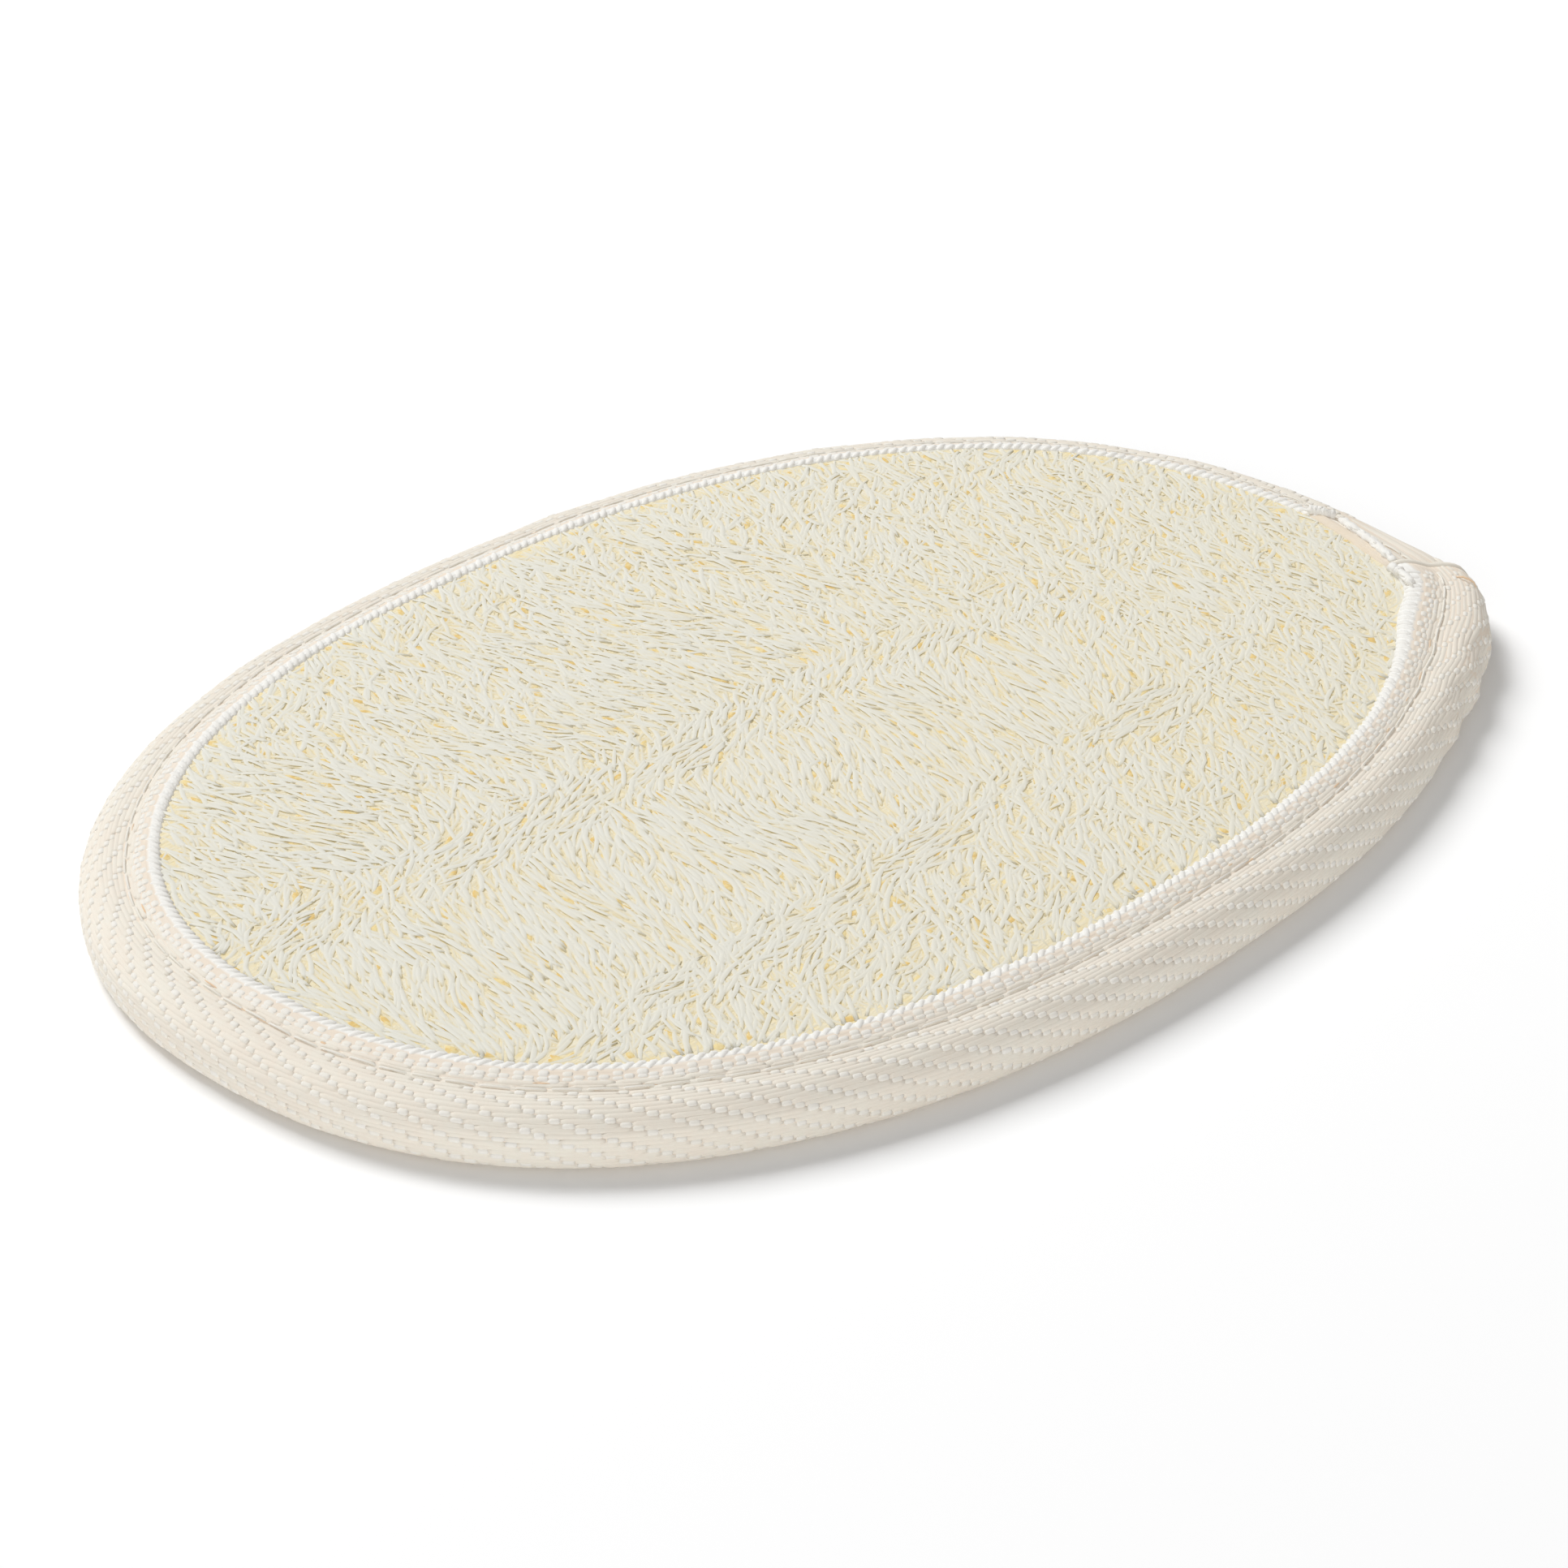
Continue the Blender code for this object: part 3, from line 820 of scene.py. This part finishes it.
# Distance in from the tape's inner edge on a 1 mm grid, positive on the open face
tableX = np.arange(-80, 81) * mm
tableY = np.arange(-58, 59) * mm
gridX, gridY = np.meshgrid(tableX, tableY, indexing="ij")
flatGrid = np.stack([gridX.ravel(), gridY.ravel()], axis=1)
toEdge = edgeInner[None] - flatGrid[:, None]
nearest = np.linalg.norm(toEdge, axis=2).argmin(axis=1)
toNearest = toEdge[np.arange(len(flatGrid)), nearest]
insideTable = (toNearest * edgeNormal[nearest]).sum(axis=1).reshape(gridX.shape)


def insideBy(places):
    u = np.clip((places[:, 0] - tableX[0]) / mm, 0, len(tableX) - 1.001)
    v = np.clip((places[:, 1] - tableY[0]) / mm, 0, len(tableY) - 1.001)
    i, j = u.astype(int), v.astype(int)
    u, v = u - i, v - j
    near = insideTable[i, j] * (1 - u) + insideTable[i + 1, j] * u
    far = insideTable[i, j + 1] * (1 - u) + insideTable[i + 1, j + 1] * u
    return near * (1 - v) + far * v


def faceHeight(places, top):
    dome = 1 - (1 - np.clip(insideBy(places) / padFace["rounding"], 0, 1)) ** 2
    if top:
        return padFace["topRim"] + (padFace["topMiddle"] - padFace["topRim"]) * dome
    return padFace["underRim"] + (padFace["underMiddle"] - padFace["underRim"]) * dome


def jitteredGrid(cell, rng):
    # One place in each cell of a grid over the open face
    places = []
    for i in range(int(2 * outline["halfLength"] / cell)):
        for j in range(int(2 * outline["halfWidth"] / cell)):
            places.append(((i + rng.random()) * cell - outline["halfLength"],
                           (j + rng.random()) * cell - outline["halfWidth"]))
    places = np.array(places)
    return places[insideBy(places) > 0.1 * mm]


def placeOpenings(rng):
    # Small openings in the net, narrow where the fibres run straight and rounder elsewhere
    centres = jitteredGrid(openings["cell"], rng)
    angles, strays = flowAt(centres)
    places = []
    for (x, y), angle, stray in zip(centres, angles, strays):
        halfWidth = rng.uniform(*openings["halfWidth"]) + rng.random() * stray * openings["roundness"]
        places.append((x, y, angle + rng.gauss(0, 0.25), rng.uniform(*openings["halfLength"]), halfWidth))
    # more of them beside the tape, where the net is cut
    for index in range(0, 360, 4):
        place = edgeInner[index] - edgeNormal[index] * rng.uniform(*openings["rimDistance"]) * mm
        if rng.random() < openings["rimChance"]:
            angle = math.atan2(edgeTangent[index, 1], edgeTangent[index, 0]) + rng.gauss(0, 0.5)
            places.append((place[0], place[1], angle, rng.uniform(*openings["rimHalfLength"]) * mm,
                           rng.uniform(*openings["rimHalfWidth"]) * mm))
    return places


def pushAside(px, py, places):
    # Fibres part round the openings
    for x, y, angle, halfLength, halfWidth in places:
        near = (abs(px - x) < openings["reach"]) & (abs(py - y) < openings["reach"])
        dx, dy = px[near] - x, py[near] - y
        u = dx * math.cos(angle) + dy * math.sin(angle)
        v = dy * math.cos(angle) - dx * math.sin(angle)
        pushed = np.sqrt(v * v + halfWidth ** 2 * np.exp(-((u / halfLength) ** 2)))
        shift = np.where(v < 0, -pushed, pushed) - v
        px[near] -= shift * math.sin(angle)
        py[near] += shift * math.cos(angle)


def makeHollows(name, places, top):
    # The ochre ground seen in each opening
    sign = 1 if top else -1
    routes = []
    shares = np.array([-1.5, -0.5, 0.5, 1.5])
    for x, y, angle, halfLength, halfWidth in places:
        way = np.array([math.cos(angle), math.sin(angle)])
        flat = np.array([x, y]) + shares[:, None] * halfLength * way
        z = faceHeight(flat, top) - sign * openings["sunk"]
        width = (halfWidth + openings["margin"]) / openings["radius"]
        routes.append((np.column_stack([flat, z]), np.array([0.1, 1.0, 1.0, 0.1]) * width))
    piece = yarnPiece(name, routes, openings["radius"], "bed", hollowMaterial)
    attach(piece, "root")
    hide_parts("loofah_mat")


def fibreRoutes(cell, top, seed, places):
    # Fibres that follow the flow, the lower ones more askew, parted round the openings.
    # Each is bent, sinks at its tips and ends a little way under the tape.
    rng = random.Random(seed)
    chance = np.random.default_rng(seed)
    sign = 1 if top else -1
    starts = jitteredGrid(cell, rng)
    chance.shuffle(starts)
    count = len(starts)
    angles, strays = flowAt(starts)
    level = chance.random((count, 1))
    heading = angles[:, None] + chance.normal(0, 1, (count, 1)) * strays[:, None] * (1.7 - 1.1 * level)
    curl = chance.normal(0, fibres["curl"], (count, 1)) * (0.5 + 2 * strays[:, None])
    length = chance.uniform(*fibres["length"], (count, 1))
    thick = chance.uniform(*fibres["thickness"], (count, 1))
    phase = chance.uniform(0, 6.3, (count, 1))
    shares = np.linspace(-0.5, 0.5, fibres["points"])
    travel = shares * length
    turn = heading + curl * travel / fibres["curlLength"]
    middle = (turn[:, 1:] + turn[:, :-1]) / 2
    step = np.diff(travel, axis=1)
    start = np.zeros((count, 1))
    px = np.concatenate([start, np.cumsum(step * np.cos(middle), axis=1)], axis=1)
    py = np.concatenate([start, np.cumsum(step * np.sin(middle), axis=1)], axis=1)
    px += starts[:, :1] - px.mean(axis=1, keepdims=True)
    py += starts[:, 1:] - py.mean(axis=1, keepdims=True)
    parted = chance.random(count) > openings["bridged"]
    movedX, movedY = px[parted], py[parted]
    pushAside(movedX, movedY, places)
    px[parted], py[parted] = movedX, movedY
    flat = np.stack([px.ravel(), py.ravel()], axis=1)
    inside = insideBy(flat).reshape(px.shape)
    base = faceHeight(flat, top).reshape(px.shape)
    ends = np.abs(shares) * 2
    wave = fibres["wave"] * np.sin(travel / fibres["waveLength"] + phase)
    sunk = fibres["sunk"] + fibres["tipDrop"] * ends ** 4
    z = base + sign * ((level - 1) * fibres["layer"] + wave - sunk)
    taper = thick * (1 - 0.4 * ends ** 3)
    routes = []
    for row in range(count):
        keep = inside[row] > -fibres["underTape"]
        if keep.sum() >= 3:
            route = np.stack([px[row][keep], py[row][keep], z[row][keep]], axis=1)
            routes.append((route, taper[row][keep]))
    return routes


def makeFibres(names, cell, top, seed, places):
    sign = 1 if top else -1
    routes = fibreRoutes(cell, top, seed, places)
    share = math.ceil(len(routes) / len(names))
    for index, name in enumerate(names):
        piece = yarnPiece(name, routes[index * share:(index + 1) * share], fibres["radius"], "ridge",
                          loofahMaterial)
        # how far each point lies below the face, which the fibre's colour follows: deeper points are drawn
        # ochre, partly as painted shade between the fibres
        co = np.empty(len(piece.data.vertices) * 3)
        piece.data.vertices.foreach_get("co", co)
        co = co.reshape(-1, 3)
        depth = (sign * (faceHeight(co[:, :2], top) - co[:, 2]) - 0.02 * mm) / (fibres["layer"] + 0.1 * mm)
        layer = piece.data.attributes.new("depth", "FLOAT", "POINT")
        layer.data.foreach_set("value", np.clip(depth, 0, 1))
        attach(piece, "root")
        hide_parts("loofah_mat")


core = {
    "steps": 100,
    "noseShare": 0.30,
    "relief": 0.03 * mm,
    "reliefSize": 2.2 * mm,
    "sunk": 0.22 * mm,
    "sunkAtRim": 0.13 * mm,
    # inside the tape both faces draw together to the rim's height
    "tuckedIn": 0.9 * mm,
    "drawnIn": 3.0 * mm,
    "rimHeight": 3.2 * mm,
    "rimHalf": 0.35 * mm,
}


def makeCore():
    # Body of the mat under its fibres, a square grid drawn out to the oval and given depth
    mesh = bmesh.new()
    bmesh.ops.create_grid(mesh, x_segments=core["steps"], y_segments=core["steps"], size=1.0)
    topFaces = list(mesh.faces)
    made = bmesh.ops.extrude_face_region(mesh, geom=topFaces)
    underVerts = set(item for item in made["geom"] if isinstance(item, bmesh.types.BMVert))
    nose = edgeOuter + (edgeInner - edgeOuter) * core["noseShare"]
    for vert in mesh.verts:
        u, v = vert.co.x, vert.co.y
        discX = u * math.sqrt(1 - v * v / 2)
        discY = v * math.sqrt(1 - u * u / 2)
        radius = math.hypot(discX, discY)
        angle = math.atan2(discY, discX)
        rim = Vector((np.interp(angle, edgeTurns, nose[:, 0], period=2 * np.pi),
                      np.interp(angle, edgeTurns, nose[:, 1], period=2 * np.pi)))
        place = rim * radius
        inside = float(insideBy(np.array([place]))[0])
        top = vert not in underVerts
        face = float(faceHeight(np.array([place]), top)[0])
        lump = noise.fractal(Vector((place.x, place.y, 0 if top else 1)) / core["reliefSize"], 0.8, 2.0, 3)
        sign = 1 if top else -1
        open = min(1.0, max(0.0, inside / (3 * mm)))
        sunk = core["sunkAtRim"] + (core["sunk"] - core["sunkAtRim"]) * open
        z = face - sign * sunk + lump * core["relief"] * open
        hidden = min(1.0, max(0.0, (-inside - core["tuckedIn"]) / core["drawnIn"]))
        z += (core["rimHeight"] + sign * core["rimHalf"] - z) * hidden ** 0.7
        vert.co = (place.x, place.y, z)
    bmesh.ops.recalc_face_normals(mesh, faces=mesh.faces)
    data = bpy.data.meshes.new("loofahCore")
    flat = np.array([vert.co.xy for vert in mesh.verts])
    mesh.to_mesh(data)
    mesh.free()
    layer = data.attributes.new("nearRim", "FLOAT", "POINT")
    layer.data.foreach_set("value", 1 - smoothStep(insideBy(flat), 0.5 * mm, 5 * mm))
    piece = newPiece("loofahCore", data, coreMaterial)
    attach(piece, "root")
    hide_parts("loofah_mat")
    print("core made")


lap = {
    "foldRadius": 0.42 * mm,
    "borderRadius": 0.42 * mm,
    "tuckRadius": 0.26 * mm,
    "fanRadius": 0.5 * mm,
    "lintRadius": 0.2 * mm,
    "stitchRadius": 0.12 * mm,
    "fanRows": 9,
    "borderRows": 3,
    # polar angle in degrees, distance across the tape from its upper edge in mm
    "ridge": [(-11.5, 2.5), (-14.0, 2.1), (-17.0, 1.7), (-20.0, 1.35), (-21.8, 1.1)],
    "farEnd": [(-8.8, 0.8), (-9.8, 1.6), (-10.8, 2.6)],
    "nearEnd": [(-22.9, 0.4), (-24.6, 0.5), (-27.0, 0.7)],
    "stitch": [(-24.9, 5.0), (-25.5, 5.8), (-25.9, 6.5)],
    # each frayed edge, its roll's radius and how many loose fibres lie on it
    "rolls": [("ridge", 0.5 * mm, 14), ("farEnd", 0.55 * mm, 5), ("nearEnd", 0.5 * mm, 3)],
}


def lapLine(line, steps, lift):
    # Points on the tape along a line of polar angles and distances across it
    angles = np.radians([item[0] for item in line])
    shares = np.linspace(0, 1, len(line))
    fine = np.linspace(0, 1, steps)
    turn = 2 * np.pi if line[0][0] < math.degrees(tape["upperEnd"]) else 0
    along = np.interp(np.interp(fine, shares, angles) + turn, unrolledAngles, seamLength)
    across = np.interp(fine, shares, [item[1] * mm for item in line])
    return tapePoints(along, across, lift)


def fuzzyRoll(line, radius, strands, rng):
    # A soft uneven roll of frayed cotton with short loose fibres lying along it
    steps = 26
    wobble = np.array([rng.uniform(0.7, 1.15) for _ in range(steps)])
    wobble[[0, -1]] = 0.4
    roll = lapLine(line, steps, np.full(steps, radius * 0.25))
    roll[:, :2] += np.array([[rng.gauss(0, 0.05), rng.gauss(0, 0.05)] for _ in range(steps)]) * mm
    routes = []
    for _ in range(strands):
        k = rng.randrange(2, steps - 3)
        way = roll[k + 1] - roll[k - 1]
        stray = np.array([rng.gauss(0, 0.16), rng.gauss(0, 0.16), rng.gauss(0, 0.05)])
        way = way / np.linalg.norm(way) + stray
        way *= rng.uniform(0.9, 2.0) * mm / np.linalg.norm(way)
        around = rng.uniform(0, np.pi)
        side = np.cross(way / np.linalg.norm(way), [0, 0, 1])
        centre = roll[k] + radius * 0.6 * (side * math.cos(around) + np.array([0, 0, math.sin(around)]))
        routes.append(([centre - way / 2, centre, centre + way / 2], [0.5, 1.0, 0.5]))
    return (roll, wobble * radius / lap["lintRadius"]), routes


def makeLap():
    rng = random.Random(47)
    pieces = []
    # The upper end of the tape is turned under, so it ends in a rounded fold
    across = np.linspace(0.2 * mm, tapeWidth - 0.2 * mm, 40)
    fold = tapePoints(np.full(40, tapeEnd), across, np.full(40, -0.3 * mm))
    inner = tapePoints(np.full(40, tapeEnd - 0.3 * mm), across, np.full(40, -0.55 * mm))
    pieces.append(yarnPiece("lapFold", [(fold, np.ones(40)), (inner, np.ones(40))], lap["foldRadius"],
                            "round", floatMaterial))
    across = np.linspace(0.9 * mm, 8.5 * mm, 20)
    tuck = tapePoints(np.full(20, lapUnder + 0.35 * mm), across, np.full(20, 0.0))
    pieces.append(yarnPiece("lapTuck", [(tuck, np.ones(20))], lap["tuckRadius"], "round", borderMaterial))
    # The lower end shows a turned border beside the loofah and yarns fanned by the pull of the seam
    along = np.linspace(lapUnder - 1 * mm, lapOpenEnd + 2 * mm, 24)
    routes = []
    for row in range(lap["borderRows"]):
        lift = np.full(24, -0.02 * mm) + 0.04 * mm * waves(along, 3 * mm, row)
        across = (0.2 + 0.45 * row) * mm
        routes.append((tapePoints(along, np.full(24, across), lift), np.full(24, 0.8), tapeTilt(across)))
    pieces.append(yarnPiece("lapBorder", routes, lap["borderRadius"], "low", borderMaterial))
    routes = []
    for row in range(lap["fanRows"]):
        share = row / (lap["fanRows"] - 1)
        along = np.linspace(lapUnder - 0.5 * mm, lapOpenEnd + rng.uniform(-1, 3) * mm, 14)
        pull = 1 - smoothStep(along, lapUnder, lapOpenEnd)
        across = (2.0 + share * 8.0) * mm - pull * (0.9 * share) * mm
        across += 0.06 * mm * waves(along, 4 * mm, row)
        lift = np.full(14, -0.18 * mm) + 0.08 * mm * np.sin(np.linspace(0, np.pi, 14))
        radii = 0.55 + 0.45 * np.sin(np.linspace(0.15, np.pi - 0.15, 14))
        routes.append((tapePoints(along, across, lift), radii, tapeTilt(across.mean())))
    pieces.append(yarnPiece("lapFan", routes, lap["fanRadius"], "low", floatMaterial))
    frays = []
    for line, radius, strands in lap["rolls"]:
        roll, routes = fuzzyRoll(lap[line], radius, strands, rng)
        frays += [roll] + routes
    pieces.append(yarnPiece("lapFray", frays, lap["lintRadius"], "round", selvedgeMaterial))
    stitch = lapLine(lap["stitch"], 5, np.array([-0.1, 0.15, 0.2, 0.15, -0.1]) * mm)
    pieces.append(yarnPiece("lapStitch", [(stitch, [0.5, 1.0, 1.0, 1.0, 0.5])], lap["stitchRadius"], "fine",
                            rustMaterial))
    return pieces


makeCore()
for names, cell, top, seed in ((["topFibresA", "topFibresB", "topFibresC"], fibres["topCell"], True, 5),
                               (["underFibres"], fibres["underCell"], False, 9)):
    places = placeOpenings(random.Random(seed + 20))
    makeFibres(names, cell, top, seed, places)
    makeHollows("topHollows" if top else "underHollows", places, top)
tapePiece = makeTape()
tapeYarns = makeWeave(False) + makeWeave(True) + makeLap() + [makeMarks()]
tapeYarns += makeSelvedge(1, "upperSelvedge") + makeSelvedge(-1, "lowerSelvedge")
for piece in tapeYarns:
    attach(piece, "root")
    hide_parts("edge_binding")
tapeYarns += [makeStitches(1, "upperStitches", "seam_thread_top"),
              makeStitches(-1, "lowerStitches", "seam_thread_bottom")]


studio = {
    "elevation": 0.500,
    "azimuth": -0.853,
    "distance": 451.4 * mm,
    "target": (-1.83 * mm, -0.02 * mm, 0.0),
    "lens": 109.27,
    "floorSize": 3.0,
    "worldLight": 0.29,
    "paper": (0.95, 0.95, 0.95, 1.0),
    # metres to the left, away from the camera and up, then size and watts
    "lamps": {
        "keyLight": ((0.82, 1.0, 1.45), 1.0, 36.7),
        "fillLight": ((0.2, -2.2, 0.5), 1.6, 30.0),
    },
}


def makeStudio():
    e, a = studio["elevation"], studio["azimuth"]
    forward = Vector((-math.cos(e) * math.sin(a), math.cos(e) * math.cos(a), -math.sin(e)))
    right = Vector((math.cos(a), math.sin(a), 0))
    up = right.cross(forward)
    data = bpy.data.cameras.new("camera")
    data.lens = studio["lens"]
    data.sensor_width = 36.0
    data.clip_start = 0.01
    data.clip_end = 20.0
    camera = bpy.data.objects.new("camera", data)
    bpy.context.scene.collection.objects.link(camera)
    place = Vector(studio["target"]) - forward * studio["distance"]
    turn = Matrix((right, up, -forward)).transposed().to_4x4()
    camera.matrix_world = Matrix.Translation(place) @ turn
    bpy.context.scene.camera = camera

    mesh = bmesh.new()
    bmesh.ops.create_grid(mesh, x_segments=1, y_segments=1, size=studio["floorSize"])
    floorData = bpy.data.meshes.new("floor")
    mesh.to_mesh(floorData)
    mesh.free()
    paper = Finish("paper", roughness=0.95, specular=0.1)
    paper.shader.inputs["Base Color"].default_value = studio["paper"]
    floor = newPiece("floor", floorData, paper.material)

    world = bpy.data.worlds.new("studio")
    bpy.context.scene.world = world
    world.use_nodes = True
    sky = world.node_tree.nodes["Background"]
    sky.inputs["Color"].default_value = (1.0, 1.0, 1.0, 1.0)
    sky.inputs["Strength"].default_value = studio["worldLight"]
    bpy.context.scene.view_settings.view_transform = "Standard"

    left = -right
    away = Vector((-math.sin(a), math.cos(a), 0))
    for name, (steps, size, power) in studio["lamps"].items():
        toward = left * steps[0] + away * steps[1] + Vector((0, 0, steps[2]))
        light = bpy.data.lights.new(name, "AREA")
        light.shape = "SQUARE"
        light.size = size
        light.energy = power
        lamp = bpy.data.objects.new(name, light)
        bpy.context.scene.collection.objects.link(lamp)
        lamp.location = toward
        lamp.rotation_euler = (-toward).to_track_quat("-Z", "Y").to_euler()
    print("studio lit")


makeStudio()

triangles = 0
for item in bpy.context.scene.objects:
    if item.type == "MESH" and item.name not in frame["nodes"] and item.name != "floor":
        triangles += sum(len(polygon.vertices) - 2 for polygon in item.data.polygons)
print("new triangles", triangles)
